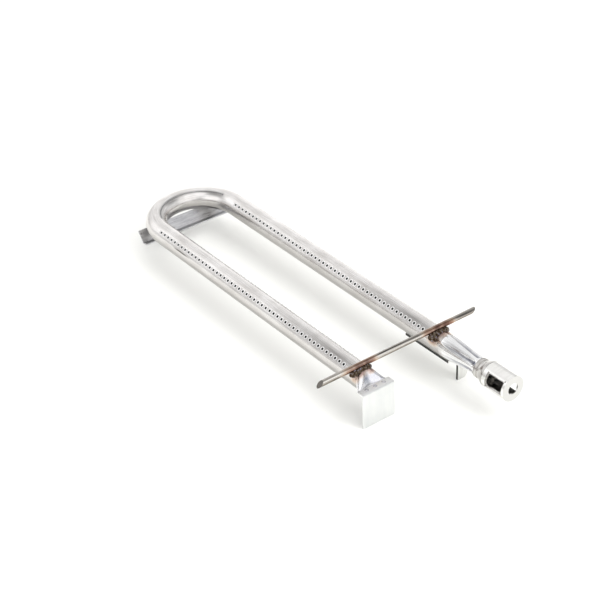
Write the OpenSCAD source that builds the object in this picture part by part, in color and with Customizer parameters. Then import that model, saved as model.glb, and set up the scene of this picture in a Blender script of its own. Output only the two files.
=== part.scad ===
// U-shaped tube burner assembly: two ported legs, a return bend, a flattened blind end on a
// sheet foot, a crimped venturi throat with a rotary air mixer, a cross rod and two rear supports.
// Units are millimetres. X runs from the blind leg to the gas leg, Y from the mixer to the bend,
// Z is up. The origin is at floor level, in the middle of the outline.

/* [Burner tube] */
// Outside diameter of the burner tube
tube_od = 25.4; // [20:0.1:32]
// Wall thickness of the burner tube
tube_wall = 1.2; // [0.8:0.1:2]
// Distance between the centre lines of the two legs
leg_spacing = 101.6; // [90:0.1:130]
// Distance from the face of the front foot to the start of the bend
leg_len = 391; // [380:1:480]
// Height of the tube centre line above the floor
axis_h = 40.8; // [36:0.2:60]

/* [Ports] */
// Diameter of the ports along the legs
port_d = 2.2; // [1.2:0.1:2.8]
// Spacing of the ports along the legs
port_pitch = 7; // [5:0.1:7]
// Number of ports in one row of a leg
port_count = 49; // [20:1:49]
// Angle of each leg row from the top of the tube
port_angle = 43; // [30:1:60]
// Distance from the foot face to the first port of the blind leg
port_start = 45; // [42:1:48]
// Distance from the foot face to the first port of the gas leg
gas_port_start = 41; // [38:1:48]
// Diameter of the ports along the bend
bend_port_d = 1.8; // [1:0.1:2]
// Spacing of the ports along the bend
bend_port_pitch = 3; // [2.6:0.1:7]
// Angle of the bend row from the top of the tube, toward the inside
bend_port_angle = 26; // [0:1:40]
// Part of the bend that has ports, in degrees
bend_port_span = 150; // [90:1:160]

/* [Flattened end] */
// Width of the flattened end
flat_w = 37.6; // [34:0.2:44]
// Width of the rounded fold along each side of the flat
fold_w = 3.2; // [1.2:0.1:5]
// Length of the part that is fully flat
flat_len = 8.3; // [6:0.1:14]
// Length over which the round tube changes to flat
press_len = 10; // [8:0.5:20]
// How far the flat lies below the tube centre line
flat_drop = 2.2; // [0:0.1:4]
// How sharply the scoop of the pressed part drops away from the round tube
dish = 2.2; // [1:0.1:3]

/* [Front foot] */
// Width of the front foot
foot_w = 40.6; // [36:0.2:50]
// Sheet thickness of the front foot
foot_t = 1.5; // [1:0.1:2.5]
// Depth of the flange that lies on the flattened end
foot_flange = 9.5; // [6:0.5:16]
// Outside radius of the bend of the front foot
foot_bend_r = 2.2; // [2:0.1:4]
// Diameter of a spot weld
spot_d = 4.4; // [3:0.2:6]
// Height of a spot weld above the flange
spot_h = 0.5; // [0.3:0.1:0.8]
// Spacing of the spot welds
spot_pitch = 11; // [8:0.5:12]

/* [Cross rod] */
// Diameter of the cross rod
rod_d = 6.35; // [5:0.05:8]
// Length of the cross rod
rod_len = 208; // [170:1:240]
// How far the middle of the cross rod lies from the middle of the legs, toward the gas leg
rod_shift = -3.4; // [-8:0.2:8]
// Distance of the cross rod from the foot face
rod_y = 26.5; // [26:0.5:28]
// Difference in length between the top and the bottom of the sheared rod
rod_skew = 7; // [0:0.5:8]
// Width of the rod welds
bead_len = 28.4; // [20:0.4:30]
// Number of ripples along a rod weld
bead_ripples = 7; // [4:1:8]
// Half the depth of a rod weld, front to back
bead_depth = 2.4; // [1.8:0.1:3]

/* [Venturi throat] */
// Distance of the round start of the throat from the foot face
throat_start = 12; // [8:0.5:13]
// Outside diameter of the neck
neck_od = 20; // [18:0.1:21]
// How far the neck reaches forward of the foot face
neck_reach = 44; // [43:0.5:46]
// Number of flutes pressed into the throat
flute_count = 6; // [4:1:8]
// Depth of a flute at its deep end
flute_depth = 3; // [1:0.1:3.4]
// Half the width of a flute at its deep end, in degrees
flute_half = 25; // [12:1:27]
// Angle of the first flute from the top, toward the gas leg's outer side
flute_clock = -46; // [-60:1:0]
// Distance of the deep end of the flutes forward of the foot face
flute_reach = 33; // [26:0.5:34]

/* [Air mixer] */
// How far the face of the air shutter reaches forward of the front foot
mixer_reach = 85; // [84:0.5:95]
// Outside diameter of the mixer and its air shutter
mixer_od = 28.4; // [28:0.1:30]
// Wall thickness of the mixer body
mixer_wall = 1.2; // [1:0.1:1.5]
// Wall thickness of the air shutter
shutter_wall = 1.2; // [1:0.1:1.5]
// Radial clearance between the air shutter and the mixer body
shutter_gap = 0.15; // [0.1:0.01:0.3]
// End clearance between the air shutter and the mixer body
shutter_end_gap = 0.4; // [0.3:0.1:0.8]
// Wall of the collar round the neck
collar_wall = 1; // [0.8:0.1:1.4]
// Length of the collar round the neck
collar_len = 4; // [3:0.5:4]
// Length of the shoulder that opens out from the collar
shoulder_len = 9.5; // [8:0.5:11]
// Thickness of the face of the air shutter
face_t = 1.5; // [1:0.1:2.5]
// Diameter of the hole for the gas orifice
orifice_d = 12.7; // [8:0.1:16]
// Length of the air windows
window_len = 23.5; // [14:0.5:24.5]
// Width of the air windows, in degrees
window_span = 70; // [40:1:72]
// Angle of the first air window from the top, toward the blind leg
window_clock = 75; // [60:1:90]
// Width of the rim between the air windows and the shutter face
window_rim = 3; // [2:0.1:4]
// How much smaller the windows of the mixer body are on every side
window_step = 1; // [0.5:0.1:1.5]
// Turn of the air shutter from open to nearly closed, in degrees
shutter_turn = 60; // [30:1:60]

/* [Lock screw] */
// Diameter of the lock screw
screw_d = 3.9; // [3:0.1:4]
// Diameter of the head of the lock screw
screw_head_d = 7.4; // [6.5:0.1:8]
// Height of the head of the lock screw
screw_head_h = 2.4; // [1.8:0.1:3]
// Width of the slot in the head of the lock screw
screw_slot_w = 1; // [0.8:0.1:1.2]
// Thickness of the washer under the head
washer_t = 0.8; // [0.5:0.1:1]
// Diameter of the washer under the head
washer_d = 8.6; // [8:0.1:9.4]
// Angle of the lock screw from the top, toward the outer side of the gas leg
screw_clock = 165; // [155:1:165]

/* [Right foot] */
// Plate thickness of the right foot
rfoot_t = 2.7; // [2:0.1:3.5]
// Length of the flange under the gas leg
rfoot_len = 70; // [50:1:90]
// Reach of the flange toward the blind leg, from the centre line of the gas leg
rfoot_inner = 6.3; // [3:0.1:12]
// Reach of the flange away from the blind leg, from the centre line of the gas leg
rfoot_outer = 18.5; // [14:0.1:24]
// Width of the tongue that stands on the floor
tongue_w = 13.2; // [10:0.1:18]
// Radius of the rounded corner of the tongue
tongue_r = 5.5; // [2:0.1:6]
// Distance of the tongue from the foot face
tongue_y = 1.2; // [0:0.1:4]

/* [Rear bracket] */
// Width of the rear bracket
rear_w = 120; // [104:1:130]
// Sheet thickness of the rear bracket
rear_t = 1.5; // [1:0.1:2.5]
// Distance of the upper edge of the rear bracket behind the start of the bend
rear_y = 42; // [40:0.5:44]
// Length of the sloping web of the rear bracket
web_len = 15.3; // [12:0.5:22]
// Slope of the web from the horizontal
web_slope = 53; // [45:1:70]
// Length of the lip of the rear bracket
lip_len = 7.4; // [5:0.1:10]
// Rise of the lip from the horizontal
lip_rise = 13; // [0:1:30]

/* [Hidden] */

tube_r = tube_od / 2;
bore_r = tube_r - tube_wall;
leg_x = leg_spacing / 2;
total_len = mixer_reach + leg_len + leg_x + tube_r;
foot_y = mixer_reach - total_len / 2;

// The two walls of the tube lie on each other in the flattened end.
flat_t = 2 * tube_wall;
flat_z = axis_h - flat_drop;
press_end = foot_bend_r + flat_len + press_len;
rod_r = rod_d / 2;
rod_z = axis_h + tube_r + rod_r;

neck_r = neck_od / 2;
mixer_r = mixer_od / 2;
shutter_bore_r = mixer_r - shutter_wall;
body_r = shutter_bore_r - shutter_gap;
body_bore_r = body_r - mixer_wall;
socket_gap = 0.05;
collar_r = neck_r + socket_gap + collar_wall;
collar_z = neck_reach - socket_depth();
step_z = neck_reach - socket_depth() + collar_len + 1.5 + shoulder_len;
window_z = mixer_reach - window_rim - window_len;
screw_z = mixer_reach - window_rim - window_len / 2;
head_gap = 0.15;
slot_gap = 0.25;

cut = 1;
round_fn = 96;
port_fn = 16;
ridge_angle = 74;
flute_points = 72;
bead_points = 14;
bead_rings = 28;

function socket_depth() = 6;
function ease(s) = s * s * (3 - 2 * s);
function mix(a, b, s) = a + (b - a) * s;

// ---------- shared helpers ----------

// Moves a piece from the foot-face frame to the frame of the whole part.
module place() {
    translate([-rod_shift, foot_y, 0]) children();
}

// Stands a piece on the centre line of a leg, with its own Z pointing to the bend.
module on_leg(x, y) {
    translate([x, y, axis_h]) rotate([-90, 0, 0]) children();
}

// Stands a piece on the centre line of the gas leg, with its own Z pointing to the mixer face.
module on_mixer() {
    translate([leg_x, 0, axis_h]) rotate([90, 0, 0]) children();
}

module pipe(outer_r, inner_r, length) {
    difference() {
        cylinder(r = outer_r, h = length, $fn = round_fn);
        translate([0, 0, -cut]) cylinder(r = inner_r, h = length + 2 * cut, $fn = round_fn);
    }
}

// Joins rings of equally many points into one closed solid.
module loft(rings) {
    n = len(rings[0]);
    last = len(rings) - 1;
    points = [for (ring = rings, p = ring) p];
    sides = [for (k = [0 : last - 1], i = [0 : n - 1])
        each let (a = k * n + i, b = k * n + (i + 1) % n)
            [[a, b, b + n], [a, b + n, a + n]]];
    caps = [[for (i = [n - 1 : -1 : 0]) i], [for (i = [0 : n - 1]) last * n + i]];
    polyhedron(points = points, faces = concat(sides, caps), convexity = 6);
}

// Joins two rows of rings, one inside the other, into a cup whose mouth is at their first rings.
module cup(outer, inner) {
    n = len(outer[0]);
    start = len(outer) * n;
    outer_end = start - n;
    inner_end = start + (len(inner) - 1) * n;
    points = [for (ring = concat(outer, inner), p = ring) p];
    outside = [for (k = [0 : len(outer) - 2], i = [0 : n - 1])
        each let (a = k * n + i, b = k * n + (i + 1) % n)
            [[a, b, b + n], [a, b + n, a + n]]];
    inside = [for (k = [0 : len(inner) - 2], i = [0 : n - 1])
        each let (a = start + k * n + i, b = start + k * n + (i + 1) % n)
            [[a, b + n, b], [a, a + n, b + n]]];
    mouth = [for (i = [0 : n - 1])
        each let (j = (i + 1) % n) [[j, i, start + i], [j, start + i, start + j]]];
    floors = [[for (i = [0 : n - 1]) outer_end + i], [for (i = [n - 1 : -1 : 0]) inner_end + i]];
    polyhedron(points = points, faces = concat(outside, inside, mouth, floors), convexity = 6);
}

// Extrudes a profile drawn in Y and Z along X, centred.
module along_x(length) {
    rotate([90, 0, 90]) linear_extrude(height = length, center = true) children();
}

// ---------- burner tube ----------

module leg_solid(side, y_start) {
    on_leg(side * leg_x, y_start) cylinder(r = tube_r, h = leg_len - y_start, $fn = round_fn);
}

module port_rows(side) {
    first = side < 0 ? port_start : gas_port_start;
    for (tilt = [-port_angle, port_angle], i = [0 : port_count - 1])
        translate([side * leg_x, first + i * port_pitch, axis_h])
            rotate([0, tilt, 0])
                translate([0, 0, bore_r - cut])
                    cylinder(d = port_d, h = tube_wall + 2 * cut, $fn = port_fn);
}

module ported_leg(side, y_start) {
    difference() {
        on_leg(side * leg_x, y_start) pipe(tube_r, bore_r, leg_len - y_start);
        port_rows(side);
    }
}

module left_leg() {
    color("silver") place() ported_leg(-1, press_end);
}

module right_leg() {
    color("silver") place() ported_leg(1, throat_start);
}

module bend_solid(r) {
    translate([0, leg_len, axis_h])
        rotate_extrude(angle = 180, $fn = round_fn)
            translate([leg_x, 0]) circle(r = r, $fn = round_fn);
}

module bend_ports() {
    row_r = leg_x - tube_r * sin(bend_port_angle);
    step = bend_port_pitch / row_r * 180 / PI;
    half_count = floor(bend_port_span / 2 / step);
    for (i = [-half_count : half_count])
        translate([0, leg_len, axis_h])
            rotate([0, 0, 90 + i * step])
                translate([leg_x, 0, 0])
                    rotate([0, -bend_port_angle, 0])
                        translate([0, 0, bore_r - cut])
                            cylinder(d = bend_port_d, h = tube_wall + 2 * cut, $fn = port_fn);
}

module return_bend() {
    color("silver") place() difference() {
        translate([0, leg_len, axis_h])
            rotate_extrude(angle = 180, $fn = round_fn)
                translate([leg_x, 0]) difference() {
                    circle(r = tube_r, $fn = round_fn);
                    circle(r = bore_r, $fn = round_fn);
                }
        bend_ports();
    }
}

// ---------- flattened blind end ----------

// Height of one point of a pressed section above its middle, as seen from the round tube's angle a.
// Two ridges run from the top of the tube to the corners of the flat, with a scoop between them.
// The sides of the flat stay rounded, as folds of the tube wall.
function press_point(s, a, inset) =
    let (half_w = mix(tube_r, flat_w / 2, s) - inset,
         ridge_x = mix((tube_r - inset) * cos(ridge_angle), half_w - fold_w, s),
         ridge_z = mix(tube_r * sin(ridge_angle), flat_t / 2, s) - inset * mix(sin(ridge_angle), 1, s),
         scoop_z = mix(flat_t / 2, tube_r, pow(1 - s, dish)) - inset,
         q = a > 90 ? 180 - a : a,
         flank = (1 - cos(q)) / (1 - cos(ridge_angle)),
         rise = (sin(q) - sin(ridge_angle)) / (1 - sin(ridge_angle)),
         x = q < ridge_angle ? mix(half_w, ridge_x, flank) : ridge_x * cos(q) / cos(ridge_angle),
         z = q < ridge_angle ? ridge_z * sin(q) / sin(ridge_angle) : mix(ridge_z, scoop_z, rise))
    [a > 90 ? -x : x, z];

// One section of the pressed end: s is 0 at the round tube and 1 at the flat, inset is the wall.
function press_ring(s, y, inset) =
    let (quarter = concat([for (i = [0 : 5]) i * ridge_angle / 6],
                          [for (i = [0 : 5]) ridge_angle + i * (90 - ridge_angle) / 6]),
         top = concat(quarter, [90], [for (i = [11 : -1 : 1]) 180 - quarter[i]]))
    concat([for (a = top) let (p = press_point(s, a, inset)) press_place(s, y, p[0], p[1])],
           [for (a = top) let (p = press_point(s, a, inset)) press_place(s, y, -p[0], -p[1])]);

function press_place(s, y, x, z) = [-leg_x - x, y, axis_h - flat_drop * ease(s) + z];

function press_stations(n, s_end) = [for (k = [0 : n]) k * s_end / n];

// The cavity ends where the two walls meet.
module flattened_end() {
    cavity_share = 0.75;
    outer = concat(
        [for (s = press_stations(9, 1)) press_ring(s, press_end - s * press_len, 0)],
        [press_ring(1, foot_bend_r, 0)]);
    inner = [for (s = press_stations(6, cavity_share))
        press_ring(s, press_end - s * press_len, tube_wall)];
    color("gainsboro") place() cup(outer, inner);
}

// ---------- venturi throat ----------

function flute_share(a, half) =
    let (pitch = 360 / flute_count,
         turn = (a - flute_clock + 720 + pitch / 2) % pitch - pitch / 2)
    abs(turn) < half ? (1 + cos(180 * turn / half)) / 2 : 0;

// One section of the throat at y, whose flutes widen and deepen from start to flute_reach.
function throat_ring(y, inset) =
    let (fall = ease(min(1, max(0, (throat_start - y) / (throat_start + flute_reach + 3)))),
         run = (throat_start - y) / (throat_start + flute_reach),
         deep = run <= 1 ? max(0, run) : max(0, 1 - (run - 1) * 16),
         half = max(6, flute_half * sqrt(min(1, max(0, run)))),
         base = mix(tube_r, neck_r, fall) - inset)
    [for (i = [0 : flute_points - 1])
        let (a = i * 360 / flute_points, r = base - flute_depth * deep * flute_share(a, half))
        [leg_x + r * sin(a), y, axis_h + r * cos(a)]];

function throat_stations(n) =
    [for (k = [0 : n]) mix(throat_start, -flute_reach, k / n)];

module venturi_throat() {
    color("gainsboro") place() difference() {
        loft(concat(
            [for (y = throat_stations(15)) throat_ring(y, 0)],
            [throat_ring(-flute_reach - 1.5, 0), throat_ring(-flute_reach - 3, 0),
             throat_ring(-neck_reach, 0)]));
        loft(concat(
            [throat_ring(throat_start + cut, tube_wall)],
            [for (y = throat_stations(7)) throat_ring(y, tube_wall)],
            [throat_ring(-flute_reach - 3, tube_wall), throat_ring(-neck_reach - cut, tube_wall)]));
    }
}

// ---------- front foot ----------

// Section of the front foot: Y to the right, Z up, with the foot face at 0.
module foot_profile() {
    top = flat_z + flat_t / 2 + foot_t;
    inner_r = foot_bend_r - foot_t;
    union() {
        square([foot_t, top - foot_bend_r]);
        translate([foot_bend_r, top - foot_t]) square([foot_flange - foot_bend_r, foot_t]);
        translate([foot_bend_r, top - foot_bend_r]) intersection() {
            difference() {
                circle(r = foot_bend_r, $fn = round_fn);
                circle(r = inner_r, $fn = round_fn);
            }
            translate([-foot_bend_r, 0]) square(foot_bend_r);
        }
    }
}

module front_foot() {
    color("gainsboro") place() translate([-leg_x, 0, 0]) along_x(foot_w) foot_profile();
}

module foot_spot_welds() {
    top = flat_z + flat_t / 2 + foot_t;
    cap_r = (pow(spot_d / 2, 2) + pow(spot_h, 2)) / (2 * spot_h);
    color("darkgray") place()
        for (i = [-1 : 1])
            translate([-leg_x + i * spot_pitch, (foot_bend_r + foot_flange) / 2, top])
                intersection() {
                    translate([0, 0, spot_h - cap_r]) sphere(r = cap_r, $fn = round_fn);
                    cylinder(d = spot_d + cut, h = spot_h + cut, $fn = round_fn);
                }
}

// ---------- cross rod and its welds ----------

module rod_solid() {
    translate([rod_shift - rod_len / 2, rod_y, rod_z]) rotate([0, 90, 0])
        cylinder(d = rod_d, h = rod_len, $fn = round_fn);
}

// Slab that shears both ends of the rod; its two ends are parallel planes.
module rod_shear() {
    long = rod_len / 2;
    short = long - rod_skew;
    translate([rod_shift, rod_y + rod_d, rod_z]) rotate([90, 0, 0])
        linear_extrude(height = 2 * rod_d)
            polygon([[-long, -rod_r], [short, -rod_r], [long, rod_r], [-short, rod_r]]);
}

module cross_rod() {
    color("dimgray") place() intersection() {
        rod_solid();
        rod_shear();
    }
}

// One section of a rod weld, at t from 0 to 1 along it. It fills the corner between the rod and a
// leg, so it hangs deeper where the leg falls away from the rod, by no more than its droop.
function bead_ring(side, shift, droop, t) =
    let (u = shift + bead_len * (t - 0.5),
         fall = tube_r - sqrt(pow(tube_r, 2) - pow(min(abs(u), tube_r - 1), 2)),
         sag = min(fall, droop),
         depth = bead_depth * (1 + 0.05 * droop),
         lump = 1 + 0.13 * cos(360 * bead_ripples * t) + 0.08 * sin(500 * t + 40),
         swell = lump * sqrt(max(0.03, 1 - pow(2 * t - 1, 4))),
         half_z = 2.7 + 0.35 * sag)
    [for (i = [0 : bead_points - 1])
        let (a = i * 360 / bead_points, y = swell * depth * cos(a), z = -swell * half_z * sin(a))
        [side * leg_x + u, rod_y - rod_r - 0.7 + y + 0.3 * z, axis_h + tube_r + 0.3 - 0.5 * sag + z]];

module rod_bead(side, shift, droop) {
    loft([for (k = [0 : bead_rings]) bead_ring(side, shift, droop, k / bead_rings)]);
}

// This weld also sinks into the pressed end, as a fused weld does.
module left_rod_weld() {
    color("saddlebrown") place() difference() {
        rod_bead(-1, -4.8, 2);
        leg_solid(-1, press_end);
        rod_solid();
    }
}

module right_rod_weld() {
    color("saddlebrown") place() difference() {
        rod_bead(1, -3, 5);
        leg_solid(1, throat_start);
        rod_solid();
    }
}

// ---------- right foot ----------

rfoot_top = axis_h - tube_r;

module right_foot_plate() {
    left = leg_x - rfoot_inner;
    width = rfoot_inner + rfoot_outer;
    tongue_x = left + width - tongue_w;
    translate([left, tongue_y + rfoot_t, rfoot_top - rfoot_t])
        cube([width, rfoot_len - rfoot_t, rfoot_t]);
    translate([tongue_x, tongue_y + rfoot_t, 0]) rotate([90, 0, 0])
        linear_extrude(height = rfoot_t) union() {
            translate([0, tongue_r]) square([tongue_w, rfoot_top - tongue_r]);
            square([tongue_w - tongue_r, tongue_r + cut]);
            translate([tongue_w - tongue_r, tongue_r]) circle(r = tongue_r, $fn = round_fn);
        }
}

module right_foot() {
    color("gainsboro") place() right_foot_plate();
}

// Short fillets that hold the flange to the underside of the gas leg.
module right_foot_welds() {
    color("darkgray") place() difference() {
        for (y = [0.25, 0.8] * rfoot_len, k = [-1, 0, 1])
            translate([leg_x + 8, y + k * 3, rfoot_top + 0.9]) sphere(r = 2.2, $fn = 24);
        leg_solid(1, throat_start);
        right_foot_plate();
    }
}

// ---------- rear bracket ----------

// Section of the rear bracket: a sloping web with a short lip at its foot, Y right and Z up.
module rear_profile() {
    web = [cos(web_slope), sin(web_slope)];
    lip = [-cos(lip_rise), sin(lip_rise)];
    corner = [for (k = [0 : 6])
        let (a = mix(web_slope - 90, -lip_rise - 90, k / 6)) rear_t * [cos(a), sin(a)]];
    top = [leg_len + rear_y, axis_h - tube_r + 0.6];
    translate(top - web_len * web)
        polygon(concat(
            [lip_len * lip, [0, 0], web_len * web, web_len * web + corner[0]],
            corner,
            [lip_len * lip + corner[6]]));
}

module rear_bracket_sheet() {
    difference() {
        along_x(rear_w) rear_profile();
        bend_solid(tube_r);
    }
}

module rear_bracket() {
    color("darkgray") place() rear_bracket_sheet();
}

module rear_bracket_welds() {
    cross_x = sqrt(pow(leg_x, 2) - pow(rear_y, 2));
    color("dimgray") place() difference() {
        for (side = [-1, 1], k = [-2 : 2])
            translate([side * cross_x + k * 2.4, leg_len + rear_y + 2.4, axis_h - tube_r - 0.6])
                sphere(r = 2.4, $fn = 24);
        bend_solid(tube_r);
        rear_bracket_sheet();
    }
}

// ---------- air mixer ----------

// Cuts a sector out of a sleeve; clock is measured from the top toward the blind leg.
module sector(clock, span, z, length) {
    rotate([0, 0, 90 + clock - span / 2])
        rotate_extrude(angle = span, $fn = round_fn)
            translate([body_bore_r / 2, z]) square([mixer_od, length]);
}

module air_windows(inset) {
    for (side = [0, 180])
        sector(window_clock + side, window_span - 2 * inset * 180 / (PI * mixer_r),
               window_z + inset, window_len - 2 * inset);
}

// Half section of the mixer body: radius to the right, distance forward of the foot up.
module mixer_section() {
    groove = 0.6;
    groove_z = collar_z + collar_len;
    shoulder_z = step_z - shoulder_len;
    shoulder = [for (k = [0 : 12])
        [mix(collar_r, mixer_r, ease(k / 12)), shoulder_z + shoulder_len * k / 12]];
    front_z = mixer_reach - face_t - shutter_end_gap;
    polygon(concat(
        [[neck_r + socket_gap, collar_z], [collar_r, collar_z], [collar_r, groove_z],
         [collar_r - groove, groove_z], [collar_r - groove, shoulder_z]],
        shoulder,
        [[body_r, step_z], [body_r, front_z], [body_bore_r, front_z], [body_bore_r, step_z],
         [neck_r + socket_gap, neck_reach + 0.5]]));
}

module mixer_body() {
    color("silver") place() on_mixer() difference() {
        rotate_extrude($fn = round_fn) mixer_section();
        air_windows(window_step);
        radial(screw_clock, screw_z) cylinder(d = screw_d, h = mixer_od, $fn = 32);
    }
}

// Stands a piece on the mixer axis, pointing out at an angle from the top toward the outer side.
module radial(clock, z) {
    translate([0, 0, z]) rotate([0, 0, -clock]) rotate([-90, 0, 0]) children();
}

// Square-ended slot that lets the air shutter turn past the fixed lock screw.
module screw_slot() {
    slot_w = screw_d + 2 * slot_gap;
    end_angle = asin(slot_w / 2 / mixer_r);
    rotate([0, 0, 90 - screw_clock - shutter_turn - end_angle])
        rotate_extrude(angle = shutter_turn + 2 * end_angle, $fn = round_fn)
            translate([body_r - cut, screw_z - slot_w / 2]) square([mixer_r, slot_w]);
}

module air_shutter() {
    nick_d = 1.6;
    rear_z = step_z + shutter_end_gap;
    color("whitesmoke") place() on_mixer() difference() {
        translate([0, 0, rear_z])
            cylinder(r = mixer_r, h = mixer_reach - rear_z, $fn = round_fn);
        translate([0, 0, rear_z - cut])
            cylinder(r = shutter_bore_r, h = mixer_reach - face_t - rear_z + cut, $fn = round_fn);
        cylinder(d = orifice_d, h = mixer_reach + cut, $fn = round_fn);
        air_windows(0);
        screw_slot();
        for (side = [0, 180], end = [-1, 1])
            radial(-window_clock + side + end * (window_span / 2 + 1.6),
                   window_z + window_len * (1 + end) / 2 + end * 0.4)
                cylinder(d = nick_d, h = mixer_od, $fn = port_fn);
    }
}

module lock_screw() {
    seat = mixer_r + head_gap + washer_t;
    shank_start = body_bore_r - 0.6;
    color("dimgray") place() on_mixer() radial(screw_clock, screw_z) difference() {
        union() {
            translate([0, 0, shank_start]) cylinder(d = screw_d, h = seat - shank_start, $fn = 32);
            translate([0, 0, seat]) cylinder(d = screw_head_d, h = screw_head_h, $fn = 48);
        }
        translate([0, 0, seat + screw_head_h])
            cube([screw_head_d + cut, screw_slot_w, screw_head_h], center = true);
    }
}

module lock_washer() {
    color("silver") place() on_mixer() radial(screw_clock, screw_z)
        translate([0, 0, mixer_r + head_gap]) pipe(washer_d / 2, screw_d / 2, washer_t);
}

left_leg();
return_bend();
right_leg();
flattened_end();
venturi_throat();
front_foot();
foot_spot_welds();
cross_rod();
left_rod_weld();
right_rod_weld();
right_foot();
right_foot_welds();
rear_bracket();
rear_bracket_welds();
mixer_body();
air_shutter();
lock_screw();
lock_washer();
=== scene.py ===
import logging
import math
import random
from dataclasses import dataclass
from enum import Enum
from typing import Sequence

import bmesh
import bpy
from mathutils import Matrix, Vector, noise


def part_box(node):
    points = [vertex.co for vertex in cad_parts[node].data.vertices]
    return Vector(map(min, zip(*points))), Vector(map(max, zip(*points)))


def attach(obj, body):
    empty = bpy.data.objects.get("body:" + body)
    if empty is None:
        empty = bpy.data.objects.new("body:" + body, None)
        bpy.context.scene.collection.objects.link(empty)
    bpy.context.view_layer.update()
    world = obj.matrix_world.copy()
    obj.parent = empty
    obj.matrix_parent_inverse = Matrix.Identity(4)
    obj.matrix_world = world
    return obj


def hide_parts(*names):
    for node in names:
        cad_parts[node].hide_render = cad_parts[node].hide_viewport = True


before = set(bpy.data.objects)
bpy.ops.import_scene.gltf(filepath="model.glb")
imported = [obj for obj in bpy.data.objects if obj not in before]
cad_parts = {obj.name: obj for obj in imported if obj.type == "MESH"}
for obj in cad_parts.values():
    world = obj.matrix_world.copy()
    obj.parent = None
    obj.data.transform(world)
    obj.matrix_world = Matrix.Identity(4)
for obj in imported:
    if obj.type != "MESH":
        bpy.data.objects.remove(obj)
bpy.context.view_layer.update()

# Dresses the tube burner: a ported U tube with a pressed blind end, a fluted throat with its air
# mixer, a cross rod and three supports. Sizes are in millimetres unless a name ends in _m, and
# the frame is the part's own: X from the blind leg to the gas leg, Y to the bend, Z up.

LOG = logging.getLogger("tube_burner")
MM = 0.001
NOISE_SPAN = (0.3, 0.7)  # where a noise texture's values mostly lie
TWO_NOISES_SPAN = (0.75, 1.3)  # the upper part of the span of two of them added

Colour = tuple[float, float, float, float]
Point = tuple[float, float, float]
Ring = list[Point]
Socket = bpy.types.NodeSocket
Tree = bpy.types.NodeTree


class Body(Enum):
    """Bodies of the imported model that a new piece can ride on."""

    BURNER = "burner"
    SHUTTER = "air_shutter"


class Slot(Enum):
    """Names of material slots, passed with each new piece."""

    FORMED = "formed_steel"
    WELD = "weld_metal"


class Side(Enum):
    """The two legs, by the sign of their X."""

    BLIND = -1
    GAS = 1


def linear(hex_colour: str, alpha: float = 1.0) -> Colour:
    """Turns an sRGB hex value into the linear colour that a socket takes.

    Args:
        hex_colour: Six hex digits after a hash.
        alpha: The fourth component.

    Returns:
        Linear red, green, blue and alpha.
    """
    channels = [int(hex_colour[i:i + 2], 16) / 255 for i in (1, 3, 5)]
    red, green, blue = (c / 12.92 if c <= 0.04045 else ((c + 0.055) / 1.055) ** 2.4
                        for c in channels)
    return (red, green, blue, alpha)


def add_node(tree: Tree, kind: str, settings: dict | None = None,
             links: dict | None = None) -> bpy.types.Node:
    """Adds one node to a tree.

    Args:
        tree: The node tree of a material or of the world.
        kind: The node's type name, without its ShaderNode prefix.
        settings: Values for the node's own properties or input sockets. The key "stops" gives a
            ramp its positions and colours.
        links: Output sockets that feed the input sockets.

    Returns:
        The new node.
    """
    made = tree.nodes.new("ShaderNode" + kind)
    for name, value in (settings or {}).items():
        if name == "stops":
            elements = made.color_ramp.elements
            for i, (position, colour) in enumerate(value):
                stop = elements[i] if i < 2 else elements.new(position)
                stop.position, stop.color = position, colour
        elif isinstance(name, str) and hasattr(made, name):
            setattr(made, name, value)
        else:
            made.inputs[name].default_value = value
    for name, source in (links or {}).items():
        tree.links.new(source, made.inputs[name])
    return made


def add_chain(tree: Tree, kind: str, known: dict[str, Socket], steps: Sequence[tuple]) -> None:
    """Adds a row of nodes of one kind, each fed by earlier results.

    Args:
        tree: The node tree.
        kind: The nodes' type name, without its ShaderNode prefix.
        known: Sockets by name; each step adds its own result.
        steps: A name, an operation and its inputs. An input is a value or an earlier name.
    """
    for name, operation, *inputs in steps:
        linked = {i: known[term] for i, term in enumerate(inputs) if isinstance(term, str)}
        fixed = {i: term for i, term in enumerate(inputs) if i not in linked}
        known[name] = add_node(tree, kind, {"operation": operation, **fixed}, linked).outputs[0]


def length_steps(name: str, first: str, second: str) -> tuple[tuple, ...]:
    """Gives the steps that find how long two distances at right angles are together.

    Args:
        name: The result's name.
        first: One distance's name.
        second: The other's.

    Returns:
        Steps for a row of number nodes.
    """
    return (
        (first + "_2", "MULTIPLY", first, first),
        (second + "_2", "MULTIPLY", second, second),
        (name + "_2", "ADD", first + "_2", second + "_2"),
        (name, "SQRT", name + "_2", 0.0),
    )


def per_metre(size: float) -> float:
    """Gives the texture scale at which a pattern repeats about every size millimetres."""
    return 1 / (size * MM)


def mix(a: float, b: float, s: float) -> float:
    """Goes from a to b as s goes from 0 to 1."""
    return a + (b - a) * s


def ease(s: float) -> float:
    """Goes from 0 to 1 with a level start and end."""
    return s * s * (3 - 2 * s)


def in_metres(point: Point) -> Vector:
    """Turns a point in millimetres into metres."""
    return Vector(point) * MM


# ---------- sizes shared by the pieces ----------

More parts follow.
